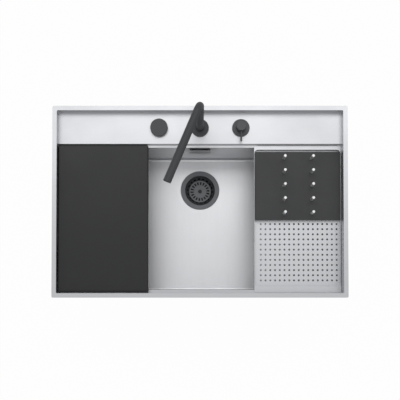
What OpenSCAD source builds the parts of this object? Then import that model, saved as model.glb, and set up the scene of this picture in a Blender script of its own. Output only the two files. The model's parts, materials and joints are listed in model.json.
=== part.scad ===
// Workstation kitchen sink: a steel sink with a recessed tap deck, sliding ledges, a cutting
// board, a perforated tray, a peg plate, a swivel spout, a side mixer and a pop-up waste.
// Origin: centre of the worktop cut-out, at the worktop's surface. +X right, +Y back, +Z up.

/* [Outline] */
// Overall width of the sink, left to right
sink_w = 800; // [780:5:1000]
// Overall depth of the sink, front to back
sink_d = 520; // [515:5:600]
// Radius of the rim's outer corners
rim_r = 4; // [3:0.5:10]
// Width of the flat rim band around the recess
rim_band = 12; // [12:0.5:20]
// Height of the rim's top above the worktop
rim_h = 3; // [2.6:0.1:5]
// Thickness of the steel sheet
sheet = 1.2; // [1:0.1:1.5]
// Radius of the recess's corners
recess_r = 3; // [2:0.5:5]

/* [Levels] */
// Drop from the rim's top to the tap deck
deck_drop = 30; // [24:1:36]
// Drop from the tap deck to the sliding ledges
step_h = 14; // [12:1:20]
// Depth of the bowl below the ledges
bowl_depth = 198; // [180:1:230]
// Length of the tap deck, back wall to step
deck_len = 86.5; // [84:0.5:92]
// Width of the front ledge
ledge_front = 10; // [9:0.5:12]
// Width of the rear ledge
ledge_rear = 8; // [7:0.5:10]
// Upright corner radius of the bowl
bowl_r = 12; // [10:1:16]
// Inner radius of the bend at the bowl's foot
bend_r = 8; // [5:0.5:9]

/* [Worktop fixing] */
// Thickness of the worktop that the clips grip
worktop_t = 40; // [34:1:60]
// Gap between the recess wall and the worktop's cut-out
cutout_gap = 0.8; // [0.5:0.1:1.5]
// Distance of the outer front and rear clips from the middle
clip_spread = 260; // [200:5:300]
// Radius of the clip screws' threads
clip_screw_r = 2.5; // [2:0.25:3]

/* [Deck fittings] */
// Distance between neighbouring fittings along the deck
pitch = 112; // [100:1:120]
// Distance of the fittings' line from the recess's back wall
fitting_back = 43; // [40:0.5:45]
// Radius of the three holes in the deck
tap_hole_r = 17.5; // [17:0.1:18]
// Radius of the threaded shanks that pass through the deck
shank_r = 16.5; // [16:0.1:16.8]
// Length of the shanks below the deck
shank_len = 58; // [54:1:70]
// Radius of the round base plates
base_r = 24; // [23:0.5:27]
// Thickness of the base plates
base_t = 6; // [5:0.5:8]
// Thickness of the rubber rings under the base plates
seal_t = 1; // [0.6:0.1:1.6]
// Thickness of the stiffening plate under the deck
stiffener_t = 2.5; // [2:0.5:4]

/* [Spout] */
// Outer radius of the spout's pipe
pipe_r = 10; // [9.5:0.1:10.4]
// Wall thickness of the spout's pipe
pipe_wall = 2.2; // [2:0.1:2.6]
// Height of the arm's centre line above the deck
spout_h = 295; // [200:5:320]
// Reach of the arm from the riser's axis to its square end
spout_reach = 204; // [160:1:240]
// Centre line radius of the spout's elbow
elbow_r = 20; // [16:1:40]
// Angle of the arm to the left of straight forward, as it rests
spout_rest = 23; // [0:0.1:60]

/* [Mixer] */
// Radius of the mixer's handle
handle_r = 12.75; // [12.5:0.05:13.5]
// Height of the handle's top above the deck
handle_top = 37; // [36:0.5:42]
// Radius of the lever rod
lever_r = 2.5; // [2:0.1:3]
// Reach of the lever from the handle's axis
lever_reach = 41; // [30:1:48]
// Radius of the ceramic cartridge
cartridge_r = 12.5; // [12:0.1:12.8]
// Radius of the hose ports' threads
port_r = 4.5; // [4:0.1:4.6]

/* [Waste knob] */
// Radius of the waste knob
knob_r = 23.75; // [23.5:0.25:26]
// Height of the waste knob
knob_h = 13; // [12:0.5:18]

/* [Waste] */
// Distance of the drain in front of the rear bowl wall
drain_back = 93.5; // [80:0.5:120]
// Radius of the waste's flange
flange_r = 57; // [56:0.5:60]
// Radius of the well inside the flange
well_r = 42.5; // [42:0.25:43]
// Depth of the well
well_depth = 39; // [38:0.5:44]
// Depth of the pressed seat that the flange lies in
seat_depth = 2.4; // [2:0.1:3]
// Depth of the basket's plate below the flange
basket_depth = 26; // [24:0.5:27]
// Number of slots in the basket
slots = 18; // [12:1:20]
// Travel of the pop-up pin
pin_lift = 8; // [6:0.5:10]
// Radius of the pop-up pin
pin_r = 2.5; // [2:0.1:3]
// Radius of the outlet's thread, for a 1 1/2 inch trap
outlet_r = 23.9; // [22:0.1:24]

/* [Overflow] */
// Width of the overflow's cover
overflow_w = 60; // [58:1:70]
// Height of the overflow's cover
overflow_h = 42; // [40:1:50]
// Drop from the ledge to the top of the overflow's cover
overflow_drop = 21; // [18:1:30]
// Depth of the overflow's cover in front of the wall
overflow_out = 6; // [5.5:0.5:9]

/* [Cutting board] */
// Width of the board
board_w = 246.4; // [230:0.1:255]
// Gap between the board's ends and the recess wall or the step
board_gap = 2.25; // [1.5:0.25:4]
// Thickness of the board
board_t = 22; // [18:1:28]
// Thickness of the strips that the board slides on
strip_t = 1.5; // [1:0.1:2]

/* [Tray] */
// Width of the tray
tray_w = 238.2; // [236:0.1:245]
// Gap between the tray's ends and the recess wall or the step
tray_gap = 3.25; // [1.5:0.25:3.75]
// Thickness of the tray's steel
tray_sheet = 1; // [0.8:0.1:1.2]
// Thickness of the strips that the tray slides on
pad_t = 0.8; // [0.6:0.1:1.2]
// Depth of the pan below the flanges
pan_depth = 12.8; // [11:0.1:16]
// Width of the tray's front flange
tray_front = 16.5; // [15:0.5:18]
// Width of the tray's rear flange
tray_rear = 11; // [10:0.5:13]
// Radius of the pan's corners
pan_r = 10; // [8:0.5:12]
// Radius of the holes in the base
hole_r = 2.7; // [2:0.1:3.2]
// Spacing of the holes, left to right
hole_pitch_x = 13.07; // [12.8:0.01:13.4]
// Spacing of the holes, front to back
hole_pitch_y = 14.13; // [13.8:0.01:14.4]
// Plain border from the pan's left side to the first holes
hole_left = 17.3; // [14:0.1:20]
// Plain border from the pan's front to the first holes
hole_front = 16.2; // [14:0.1:20]
// Least plain border at the pan's right and rear
hole_border = 9; // [8:0.1:12]

/* [Peg plate] */
// Length of the peg plate, front to back
rack_d = 187.5; // [182:0.5:200]
// Thickness of the peg plate
rack_t = 12; // [10:1:16]
// Height of the plate's feet
foot_h = 5; // [4:0.5:7]
// Gap between the peg plate and the pan's rear wall
rack_gap = 6.3; // [4:0.1:8]
// Radius of the peg plate's corners
rack_r = 2; // [1:0.5:8]
// Radius of the pegs
peg_r = 4.1; // [3.5:0.1:5]
// Height of the pegs above the plate
peg_h = 48; // [40:1:60]
// Distance between the two columns of pegs
peg_cols = 76; // [60:1:90]
// Distance between neighbouring pegs in a column
peg_pitch = 37.9; // [34:0.1:40]

/* [Hidden] */
$fn = 64;

// Clearance of a turning or sliding shaft in its bore
run_gap = 0.05;
// Clearance between pieces that only lie beside each other
side_gap = 0.6;
// Clearance of a cap over the piece that it covers
cap_gap = 0.5;
// How far a cutting shape runs past the faces it cuts
over = 1;
// Steps in a quarter of a rounded corner
corner_steps = 6;

steel = "gainsboro";
black = "dimgray";

// Half sizes and levels of the sink
half_w = sink_w / 2;
half_d = sink_d / 2;
rec_x = half_w - rim_band;
rec_y = half_d - rim_band;
deck_z = rim_h - deck_drop;
ledge_z = deck_z - step_h;
floor_z = ledge_z - bowl_depth;
deck_under = deck_z - sheet;
ledge_under = ledge_z - sheet;
step_y = rec_y - deck_len;
bowl_y0 = -rec_y + ledge_front;
bowl_y1 = step_y - ledge_rear;
wall_x = rec_x + sheet;
fit_y = rec_y - fitting_back;

// Worktop clips, set out from the wall that carries them
bracket_w = 18;
bracket_d = 8;
bracket_h = 14;
bracket_top = min(-worktop_t - 5, ledge_under - 2);
bracket_z = bracket_top - bracket_h;
clip_len = 40;
clip_t = 2;
clip_drop = 3;
clip_z = bracket_z - clip_drop - clip_t;
claw_w = 7;
claw_t = 6;
rim_over = rim_band - sheet - cutout_gap;
claw_inset = 1.5;
side_face = wall_x;
front_face = -bowl_y0 + sheet;
rear_face = rec_y - 12;
side_reach = wall_x + cutout_gap + rim_over - claw_inset - side_face;
front_reach = half_d - claw_inset - front_face;
rear_reach = half_d - claw_inset - rear_face;
clip_from_front = 90;
clip_from_rear = 70;
side_clip_y = [bowl_y0 + clip_from_front, bowl_y1 - clip_from_rear];

// Stack on the deck: rubber ring, base plate, stiffener, washer, nut
base_z = deck_z + seal_t;
base_top = base_z + base_t;
stiffener_z = deck_under - stiffener_t;
stiffener_end = 50;
stiffener_half_d = 28;
stiffener_r = 6;
washer_t = 2;
washer_r = 26;
nut_h = 10;
nut_z = stiffener_z - washer_t - nut_h;
shank_z = deck_z - shank_len;
knob_flange_r = base_r - 2;

// Spout
tube_r = 12;
bush_len = 16;
bush_z = base_top - bush_len;
pipe_z = shank_z + 18;
ring_t = 1;
ring_z = bush_z - 0.3 - ring_t;
ring_r = tube_r - 0.4;
groove_depth = 1;
oring_r = 1.4;
oring_mid = tube_r - 0.2 - oring_r;
oring_z = [ring_z - 4, ring_z - 9];
tail_top = shank_z + 10;
arm_z = deck_z + spout_h;
outlet_back = 16;
aerator_r = 8.5;
aerator_h = 6;

// Mixer
cavity_r = cartridge_r + run_gap;
cavity_z = shank_z + 10;
nut_ring_t = 3;
stem_r = 4.95;
stem_bore_r = stem_r + run_gap;
pivot_z = deck_z + 20;
handle_gap = 5.5;
handle_z = base_top + handle_gap;
handle_top_z = deck_z + handle_top;
handle_cavity_r = handle_r - 2.75;
pivot_r = 1.95;
lever_z = deck_z + 24;
port_ring = 7.5;

// Waste knob
spindle_r = 5;
knob_z = deck_z + seal_t + 0.4;
knob_skirt = 1.1;
knob_top_z = knob_z + knob_h;
knob_flange_t = 3;
drum_r = 13;
drum_h = 6;
drum_z = shank_z - 2 - drum_h;
cup_wall = 2;
cup_r = drum_r + 2;
cup_z = drum_z - 2 - cup_wall;

// Waste
drain_y = bowl_y1 - drain_back;
seat_r = flange_r + 1;
seat_z = floor_z - seat_depth;
seat_under = seat_z - sheet;
flange_t = 1.6;
well_hole_r = well_r + sheet + side_gap;
well_z = floor_z - well_depth;
well_under = well_z - sheet;
well_foot_r = 30;
cone_z = well_z + 12;
gasket_t = 3;
pot_top = seat_under - gasket_t;
pot_r = 46;
pot_wall = 4;
pot_flange_t = 5;
outlet_z = well_under - 9 - outlet_r;
pot_floor = outlet_z - outlet_r - 2;
neck_len = 10;
thread_len = 30;
outlet_bore_r = outlet_r - 4;
spigot_r = 11;
spigot_bore_r = 8;
spigot_z = pot_top - pot_flange_t - 1.5 - spigot_r - 2;
boss_r = 9;
screw_r = 5;
screw_len = 40;
screw_head_r = 8;
basket_z = floor_z - basket_depth;
basket_rim_r = well_r - 1;
basket_foot_r = basket_rim_r - 8.5;
basket_wall = 1;
seal_r = 27;
seal_z = well_z + 0.2;
seal_h = 4;
hub_z = seal_z + seal_h;
pin_top = hub_z + 5.5;
pin_foot = pot_floor - pot_wall - pin_lift - 1;
collar_t = 2;
gland_z = pin_foot - collar_t - 11;

// Overflow
overflow_top = ledge_z - overflow_drop;
overflow_foot = overflow_top - overflow_h;
overflow_mid = overflow_top - 19;
slot_w = overflow_w - 16;
slot_h = 22;
overflow_screw_x = slot_w / 2 + 3.6;
overflow_screw_r = 2;
wall_back = bowl_y1 + sheet;
over_gasket_t = 2;
over_pipe_r = spigot_r + 2;
over_elbow_r = 26;
pipe_y = wall_back + over_pipe_r + side_gap;
housing_y = wall_back + over_gasket_t;
housing_d = 2 * (pipe_y - housing_y);

// Cutting board
board_x0 = -rec_x + side_gap;
board_x1 = board_x0 + board_w;
board_y0 = -rec_y + board_gap;
board_y1 = step_y - board_gap;
board_d = board_y1 - board_y0;
board_z = ledge_z + strip_t;
board_top = board_z + board_t;

// Tray
tray_x1 = rec_x - 0.8;
tray_x0 = tray_x1 - tray_w;
tray_y0 = -rec_y + tray_gap;
tray_y1 = step_y - tray_gap;
tray_under = ledge_z + pad_t;
tray_top = tray_under + tray_sheet;
lip = 1.2;
pan_x0 = tray_x0 + lip;
pan_x1 = tray_x1 - lip;
pan_y0 = tray_y0 + tray_front;
pan_y1 = tray_y1 - tray_rear;
pan_z = tray_top - pan_depth;
hole_x0 = pan_x0 + hole_left;
hole_y0 = pan_y0 + hole_front;
hole_cols = floor((pan_x1 - hole_x0 - hole_border) / hole_pitch_x) + 1;
hole_rows = floor((pan_y1 - hole_y0 - hole_border) / hole_pitch_y) + 1;

// Peg plate
rack_x0 = pan_x0 + 1;
rack_x1 = pan_x1 - 1;
rack_y1 = pan_y1 - rack_gap;
rack_y0 = rack_y1 - rack_d;
rack_z = pan_z + foot_h;
rack_top = rack_z + rack_t;
rack_mid_x = (rack_x0 + rack_x1) / 2;
rack_mid_y = (rack_y0 + rack_y1) / 2;
peg_x = [rack_mid_x - peg_cols / 2, rack_mid_x + peg_cols / 2];
peg_y = [for (i = [-2:2]) rack_mid_y + i * peg_pitch];
peg_screw_r = 2.5;
peg_screw_len = 22;
peg_head_r = 4.6;
peg_head_t = 2.5;
peg_head_inset = 0.5;
foot_inset = 20;
foot_r = 6;

// ---------------------------------------------------------------- shared shapes

function arc(x, y, r, a0, a1) = [
    for (i = [0:corner_steps])
        let (a = a0 + (a1 - a0) * i / corner_steps)
        [x + r * cos(a), y + r * sin(a)]
];

function round_points(x0, x1, y0, y1, r) = concat(
    arc(x1 - r, y1 - r, r, 0, 90),
    arc(x0 + r, y1 - r, r, 90, 180),
    arc(x0 + r, y0 + r, r, 180, 270),
    arc(x1 - r, y0 + r, r, 270, 360)
);

// A rectangle with rounded corners, from its four sides
module rounded(x0, x1, y0, y1, r) {
    polygon(round_points(x0, x1, y0, y1, r));
}

// A rounded rectangle about the origin, from its half sizes
module centred(hx, hy, r) {
    rounded(-hx, hx, -hy, hy, r);
}

// A plate between two levels
module plate(z0, z1) {
    translate([0, 0, z0]) linear_extrude(z1 - z0) children();
}

// A round bar between two levels
module bar(r, z0, z1) {
    translate([0, 0, z0]) cylinder(r = r, h = z1 - z0);
}

// A round tube between two levels
module tube(r, bore, z0, z1) {
    difference() {
        bar(r, z0, z1);
        bar(bore, z0 - over, z1 + over);
    }
}

// A block between two corners
module block(a, b) {
    translate(a) cube(b - a);
}

// A round disc with a small bevel on its top edge
module bevelled_disc(r, z0, z1, bevel) {
    rotate_extrude() polygon([
        [0, z0], [r, z0], [r, z1 - bevel], [r - bevel, z1], [0, z1]
    ]);
}

// The three fittings on the deck
module at_fittings() {
    for (x = [-pitch, 0, pitch]) translate([x, fit_y, 0]) children();
}

module at_spout() {
    translate([0, fit_y, 0]) rotate([0, 0, -spout_rest]) children();
}

module at_mixer() {
    translate([pitch, fit_y, 0]) children();
}

module at_knob() {
    translate([-pitch, fit_y, 0]) children();
}

module at_drain() {
    translate([0, drain_y, 0]) children();
}

// ---------------------------------------------------------------- sink

module recess_outside() {
    centred(wall_x, rec_y + sheet, recess_r + sheet);
}

module worktop_frame() {
    color(steel) difference() {
        union() {
            plate(rim_h - sheet, rim_h) difference() {
                centred(half_w, half_d, rim_r);
                centred(rec_x, rec_y, recess_r);
            }
            plate(0, rim_h - sheet) difference() {
                centred(half_w, half_d, rim_r);
                centred(half_w - sheet, half_d - sheet, rim_r - sheet);
            }
            plate(ledge_under, rim_h) difference() {
                recess_outside();
                centred(rec_x, rec_y, recess_r);
            }
            plate(deck_under, deck_z) intersection() {
                recess_outside();
                translate([-half_w, step_y]) square([sink_w, half_d]);
            }
            block([-wall_x, step_y, ledge_under], [wall_x, step_y + sheet, deck_z]);
            plate(ledge_under, ledge_z) difference() {
                intersection() {
                    recess_outside();
                    translate([-half_w, -half_d]) square([sink_w, half_d + step_y + sheet]);
                }
                rounded(-rec_x, rec_x, bowl_y0, bowl_y1, bowl_r);
            }
        }
        // nothing hangs below the deck behind the step
        block([-half_w, step_y + sheet, ledge_under - over], [half_w, half_d, deck_under]);
        at_fittings() bar(tap_hole_r, deck_under - over, deck_z + over);
    }
}

// Section through the bowl's wall, bend and floor, out from the corner's centre
module bowl_section() {
    bend_x = bowl_r - bend_r;
    bend_z = floor_z + bend_r;
    polygon(concat(
        [[0, floor_z]],
        arc(bend_x, bend_z, bend_r, -90, 0),
        [[bowl_r, ledge_under], [bowl_r + sheet, ledge_under]],
        arc(bend_x, bend_z, bend_r + sheet, 0, -90),
        [[0, floor_z - sheet]]
    ));
}

module bowl() {
    in_x = rec_x - bowl_r;
    in_y0 = bowl_y0 + bowl_r;
    in_y1 = bowl_y1 - bowl_r;
    color(steel) difference() {
        union() {
            for (side = [0, 1]) mirror([side, 0, 0]) {
                translate([in_x, in_y1, 0]) rotate([90, 0, 0])
                    linear_extrude(in_y1 - in_y0) bowl_section();
                translate([in_x, in_y1, 0]) rotate_extrude(angle = 90) bowl_section();
                translate([in_x, in_y0, 0]) mirror([0, 1, 0])
                    rotate_extrude(angle = 90) bowl_section();
            }
            translate([-in_x, in_y1, 0]) rotate([90, 0, 90])
                linear_extrude(2 * in_x) bowl_section();
            translate([-in_x, in_y0, 0]) mirror([0, 1, 0]) rotate([90, 0, 90])
                linear_extrude(2 * in_x) bowl_section();
            difference() {
                block([-in_x, in_y0, floor_z - sheet], [in_x, in_y1, floor_z]);
                at_drain() bar(seat_r, floor_z - sheet - over, floor_z + over);
            }
            at_drain() tube(seat_r + sheet, seat_r, seat_under, floor_z);
            at_drain() tube(seat_r + sheet, well_hole_r, seat_under, seat_z);
        }
        block([-slot_w / 2, bowl_y1 - over, overflow_mid - slot_h / 2],
              [slot_w / 2, wall_back + over, overflow_mid + slot_h / 2]);
        overflow_screw_holes(bowl_y1 - over, wall_back + over, overflow_screw_r + 0.1);
    }
}

// Holes or shanks of the two overflow screws, along Y
module overflow_screw_holes(y0, y1, r) {
    for (x = [-overflow_screw_x, overflow_screw_x])
        translate([x, y0, overflow_mid]) rotate([-90, 0, 0]) cylinder(r = r, h = y1 - y0);
}

module tap_stiffener() {
    color("silver") plate(stiffener_z, deck_under) difference() {
        translate([0, fit_y]) centred(pitch + stiffener_end, stiffener_half_d, stiffener_r);
        for (x = [-pitch, 0, pitch]) translate([x, fit_y]) circle(tap_hole_r);
    }
}

module rim_seal() {
    color("black") plate(0, rim_h - sheet) difference() {
        centred(half_w - sheet, half_d - sheet, rim_r - sheet);
        recess_outside();
    }
}

// Places every worktop clip, with +Y pointing out from the wall that carries it
module at_clips() {
    for (side = [0, 1]) mirror([side, 0, 0]) for (y = side_clip_y)
        translate([side_face, y, 0]) rotate([0, 0, -90]) children(0);
    for (x = [-clip_spread, 0, clip_spread]) {
        translate([x, -front_face, 0]) rotate([0, 0, 180]) children(1);
        translate([x, rear_face, 0]) children(2);
    }
}

module clip_bracket(top) {
    difference() {
        block([-bracket_w / 2, 0, bracket_z], [bracket_w / 2, bracket_d, top]);
        translate([0, bracket_d / 2, bracket_z - over])
            cylinder(r = clip_screw_r, h = bracket_h - 2 + over);
    }
}

module clip_brackets() {
    color("silver") at_clips() {
        clip_bracket(bracket_top);
        clip_bracket(bracket_top);
        clip_bracket(deck_under);
    }
}

// A flat strip with two claws that reach up to the worktop's underside
module clip(reach) {
    difference() {
        union() {
            block([-clip_len / 2, side_gap, clip_z], [clip_len / 2, reach, clip_z + clip_t]);
            for (side = [0, 1]) mirror([side, 0, 0])
                block([clip_len / 2 - claw_w, reach - claw_t, clip_z],
                      [clip_len / 2, reach, -worktop_t]);
        }
        translate([0, bracket_d / 2, clip_z - over])
            cylinder(r = clip_screw_r + 0.3, h = clip_t + 2 * over);
    }
}

module fixing_clips() {
    color("silver") at_clips() {
        clip(side_reach);
        clip(front_reach);
        clip(rear_reach);
    }
}

module clip_screw() {
    translate([0, bracket_d / 2, 0]) {
        bar(clip_screw_r - run_gap, clip_z, bracket_z + bracket_h - 3);
        bar(min(2 * clip_screw_r - 1, bracket_d / 2), clip_z - 3, clip_z);
    }
}

module clip_screws() {
    color("silver") at_clips() {
        clip_screw();
        clip_screw();
        clip_screw();
    }
}

module sound_pads() {
    pad_thick = 2.5;
    color("darkslategray") {
        for (side = [0, 1]) mirror([side, 0, 0]) {
            block([seat_r + 40, bowl_y0 + 80, floor_z - sheet - pad_thick],
                  [rec_x - 60, bowl_y1 - 60, floor_z - sheet]);
            block([wall_x, bowl_y0 + 70, floor_z + 50],
                  [wall_x + pad_thick, bowl_y1 - 70, bracket_z - 20]);
        }
        block([-clip_spread + 60, bowl_y0 - sheet - pad_thick, floor_z + 50],
              [clip_spread - 60, bowl_y0 - sheet, bracket_z - 20]);
    }
}

module earth_tag() {
    tag_t = 1.5;
    tag_w = 16;
    tag_x = rec_x - 90;
    tag_z = floor_z + 60;
    color("silver") difference() {
        union() {
            block([tag_x, wall_back, tag_z], [tag_x + tag_w, wall_back + tag_t, tag_z + tag_w]);
            block([tag_x, wall_back, tag_z], [tag_x + tag_w, wall_back + tag_w + 4, tag_z + tag_t]);
        }
        translate([tag_x + tag_w / 2, wall_back + tag_w / 2 + 4, tag_z - over])
            cylinder(r = 2.1, h = tag_t + 2 * over);
    }
}

// ---------------------------------------------------------------- overflow

// A folded cover, open along its top edge, that stands in front of the slot
module overflow_cover() {
    face_y = bowl_y1 - overflow_out;
    color(steel) {
        block([-overflow_w / 2, face_y, overflow_foot],
              [overflow_w / 2, face_y + sheet, overflow_top]);
        block([-overflow_w / 2, face_y, overflow_foot],
              [overflow_w / 2, bowl_y1, overflow_foot + sheet]);
        for (side = [0, 1]) mirror([side, 0, 0])
            block([overflow_w / 2 - sheet, face_y, overflow_foot],
                  [overflow_w / 2, bowl_y1, overflow_top]);
    }
}

module overflow_gasket() {
    color("black") difference() {
        block([-overflow_w / 2 - 2, wall_back, overflow_foot - 2],
              [overflow_w / 2 + 2, housing_y, overflow_top + 2]);
        block([-slot_w / 2, wall_back - over, overflow_mid - slot_h / 2],
              [slot_w / 2, housing_y + over, overflow_mid + slot_h / 2]);
        overflow_screw_holes(wall_back - over, housing_y + over, overflow_screw_r + 0.1);
    }
}

module overflow_housing() {
    color("gray") difference() {
        union() {
            block([-overflow_w / 2 - 2, housing_y, overflow_foot - 2],
                  [overflow_w / 2 + 2, housing_y + housing_d, overflow_top + 2]);
            translate([0, pipe_y, 0]) bar(spigot_r, overflow_foot - 18, overflow_foot);
        }
        block([-slot_w / 2, housing_y - over, overflow_mid - slot_h / 2],
              [slot_w / 2, housing_y + housing_d - 3, overflow_mid + slot_h / 2]);
        translate([0, pipe_y, 0]) bar(spigot_bore_r, overflow_foot - 18 - over, overflow_mid);
        overflow_screw_holes(housing_y - over, housing_y + 9, overflow_screw_r + run_gap);
    }
}

module overflow_screws() {
    color("silver") {
        overflow_screw_holes(bowl_y1, housing_y + 8, overflow_screw_r);
        overflow_screw_holes(bowl_y1 - 2, bowl_y1, overflow_screw_r + 1);
    }
}

// Down from the housing, round one elbow and forward to the waste
module overflow_pipe() {
    elbow_y = pipe_y - over_elbow_r;
    elbow_z = spigot_z + over_elbow_r;
    run = elbow_y - drain_y - pot_r - pot_wall - 4;
    color("gray") translate([0, pipe_y, 0]) {
        tube(over_pipe_r, spigot_r + run_gap, elbow_z, overflow_foot - 4);
        translate([0, -over_elbow_r, elbow_z]) rotate([90, 0, 90]) mirror([0, 1, 0])
            rotate_extrude(angle = 90) translate([over_elbow_r, 0]) ring(over_pipe_r, spigot_r + run_gap);
        translate([0, -over_elbow_r, spigot_z]) rotate([90, 0, 0])
            tube(over_pipe_r, spigot_r + run_gap, 0, run);
    }
}

// A flat ring, from its two radii
module ring(r, bore) {
    difference() {
        circle(r);
        circle(bore);
    }
}

// ---------------------------------------------------------------- waste

module waste_flange() {
    color(black) at_drain() difference() {
        rotate_extrude() polygon([
            [0, well_under], [well_foot_r + 0.6, well_under], [well_r + sheet, cone_z - 0.6],
            [well_r + sheet, floor_z - flange_t], [flange_r, floor_z - flange_t],
            [flange_r, floor_z - 0.5], [flange_r - 0.5, floor_z], [well_r + 2, floor_z],
            [well_r, floor_z - 2], [well_r, cone_z], [well_foot_r, well_z], [0, well_z]
        ]);
        bar(screw_r + 0.1, well_under - over, well_z + over);
        for (i = [0:5]) rotate([0, 0, 60 * i]) translate([15.5, 0, 0])
            bar(4.5, well_under - over, well_z + over);
    }
}

module waste_top_gasket() {
    color("black") at_drain() tube(flange_r - 1, well_hole_r + 0.5, seat_z, floor_z - flange_t);
}

module waste_bottom_gasket() {
    color("black") at_drain() tube(pot_r + 10, pot_r, pot_top, seat_under);
}

module waste_body() {
    spigot_len = pot_r + pot_wall + 22;
    neck_y = pot_r + pot_wall + neck_len;
    color("gray") at_drain() difference() {
        union() {
            bar(pot_r + 10, pot_top - pot_flange_t, pot_top);
            bar(pot_r + pot_wall, pot_floor - pot_wall, pot_top);
            translate([0, 0, outlet_z]) rotate([-90, 0, 0]) {
                cylinder(r = outlet_r + 1.5, h = neck_y);
                cylinder(r = outlet_r, h = neck_y + thread_len);
            }
            translate([0, 0, spigot_z]) rotate([-90, 0, 0])
                cylinder(r = spigot_r, h = spigot_len);
        }
        difference() {
            union() {
                bar(pot_r, pot_floor, pot_top + over);
                translate([0, 0, outlet_z]) rotate([-90, 0, 0])
                    cylinder(r = outlet_bore_r, h = neck_y + thread_len + over);
                translate([0, 0, spigot_z]) rotate([-90, 0, 0])
                    cylinder(r = spigot_bore_r, h = spigot_len + over);
            }
            bar(boss_r, pot_floor - over, well_under);
        }
        bar(boss_r, well_under, pot_top + over);
        bar(screw_r + 0.1, well_z - screw_len - 2, pot_top + over);
        bar(pin_r + run_gap, pot_floor - pot_wall - over, well_z);
    }
}

module waste_screw() {
    color("silver") at_drain() {
        tube(screw_r, pin_r + run_gap, well_z - screw_len, well_z + 1);
        tube(screw_head_r, pin_r + run_gap, well_z, well_z + 2);
    }
}

module waste_gland() {
    color("black") at_drain() difference() {
        bar(8, gland_z, pot_floor - pot_wall);
        bar(5.5, gland_z + 3, pot_floor - pot_wall + over);
        bar(1.5, gland_z - over, gland_z + 3 + over);
    }
}

module lift_pin() {
    color("silver") at_drain() {
        bar(pin_r, pin_foot, pin_top);
        bar(4, pin_foot - collar_t, pin_foot);
    }
}

module strainer_basket() {
    color(black) at_drain() difference() {
        union() {
            rotate_extrude() polygon([
                [0, basket_z - basket_wall], [basket_foot_r, basket_z - basket_wall],
                [basket_rim_r, floor_z - 8.5], [basket_rim_r, floor_z - 7],
                [basket_rim_r - 1.2, floor_z - 7], [basket_rim_r - 1.2, floor_z - 8.3],
                [basket_foot_r - 0.7, basket_z], [0, basket_z]
            ]);
            bar(6, hub_z, basket_z - basket_wall / 2);
            bar(14, hub_z, hub_z + 2);
            tube(9.9, 8.6, hub_z - 2, hub_z + 1);
        }
        for (i = [0:slots - 1]) rotate([0, 0, 360 * i / slots])
            block([19.5, -2.2, basket_z - basket_wall - over], [28.5, 2.2, basket_z + over]);
        bar(pin_r + 0.4, hub_z - over, pin_top + 0.3);
    }
}

module basket_seal() {
    color("black") at_drain() tube(seal_r, 10, seal_z, hub_z);
}

module basket_knob() {
    color(black) at_drain() rotate_extrude() polygon([
        [0, basket_z], [3, basket_z], [3, basket_z + 3], [5, basket_z + 4.5],
        [5, basket_z + 6.2], [4.2, basket_z + 7], [0, basket_z + 7]
    ]);
}

// ---------------------------------------------------------------- deck fixings

module deck_seals() {
    color("black") at_fittings() tube(knob_flange_r - 0.5, tap_hole_r + 0.3, deck_z, base_z);
}

module deck_washers() {
    color("silver") at_fittings()
        tube(washer_r, shank_r + side_gap, stiffener_z - washer_t, stiffener_z);
}

module deck_nuts() {
    color("goldenrod") at_fittings() difference() {
        translate([0, 0, nut_z]) cylinder(r = washer_r, h = nut_h, $fn = 6);
        bar(shank_r + run_gap, nut_z - over, nut_z + nut_h + over);
    }
}

// ---------------------------------------------------------------- spout

module spout_base() {
    color(black) translate([0, fit_y, 0]) difference() {
        union() {
            bevelled_disc(base_r, base_z, base_top, 1);
            bar(shank_r, shank_z, base_z + 1);
        }
        bar(tube_r, shank_z - over, base_top + over);
    }
}

module swivel_bush() {
    color("white") translate([0, fit_y, 0])
        tube(tube_r - run_gap, pipe_r + run_gap, bush_z, base_top - 0.2);
}

module spout_tail() {
    color("goldenrod") translate([0, fit_y, 0]) difference() {
        union() {
            bar(tube_r - run_gap, shank_z, tail_top);
            translate([0, 0, shank_z - 6]) cylinder(r = 14, h = 6, $fn = 6);
        }
        bar(port_r, shank_z - 6 - over, tail_top + over);
    }
}

module spout_pipe() {
    bore = pipe_r - pipe_wall;
    color(black) at_spout() difference() {
        union() {
            tube(pipe_r, bore, pipe_z, arm_z - elbow_r);
            translate([0, -elbow_r, arm_z - elbow_r]) rotate([90, 0, 90])
                rotate_extrude(angle = 90) translate([elbow_r, 0]) ring(pipe_r, bore);
            translate([0, -elbow_r, arm_z]) rotate([90, 0, 0]) difference() {
                bar(pipe_r, 0, spout_reach - elbow_r);
                bar(bore, -over, spout_reach - elbow_r - 2.5);
            }
        }
        tube(pipe_r + over, pipe_r - groove_depth, ring_z - 0.05, ring_z + ring_t + 0.05);
        for (z = oring_z)
            tube(pipe_r + over, oring_mid - oring_r - run_gap, z - oring_r - run_gap, z + oring_r + run_gap);
        translate([0, outlet_back - spout_reach, 0]) bar(5, arm_z - pipe_r - over, arm_z);
    }
}

module spout_orings() {
    color("black") translate([0, fit_y, 0]) for (z = oring_z)
        translate([0, 0, z]) rotate_extrude() translate([oring_mid, 0]) circle(oring_r);
}

module retaining_ring() {
    color("silver") translate([0, fit_y, 0])
        tube(ring_r, pipe_r - groove_depth + run_gap, ring_z, ring_z + ring_t);
}

module aerator_housing() {
    color(black) at_spout() difference() {
        translate([0, outlet_back - spout_reach, 0])
            tube(aerator_r, aerator_r - 1.6, arm_z - pipe_r - aerator_h, arm_z - pipe_r / 2);
        translate([0, -elbow_r, arm_z]) rotate([90, 0, 0]) bar(pipe_r, 0, spout_reach);
    }
}

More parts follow.
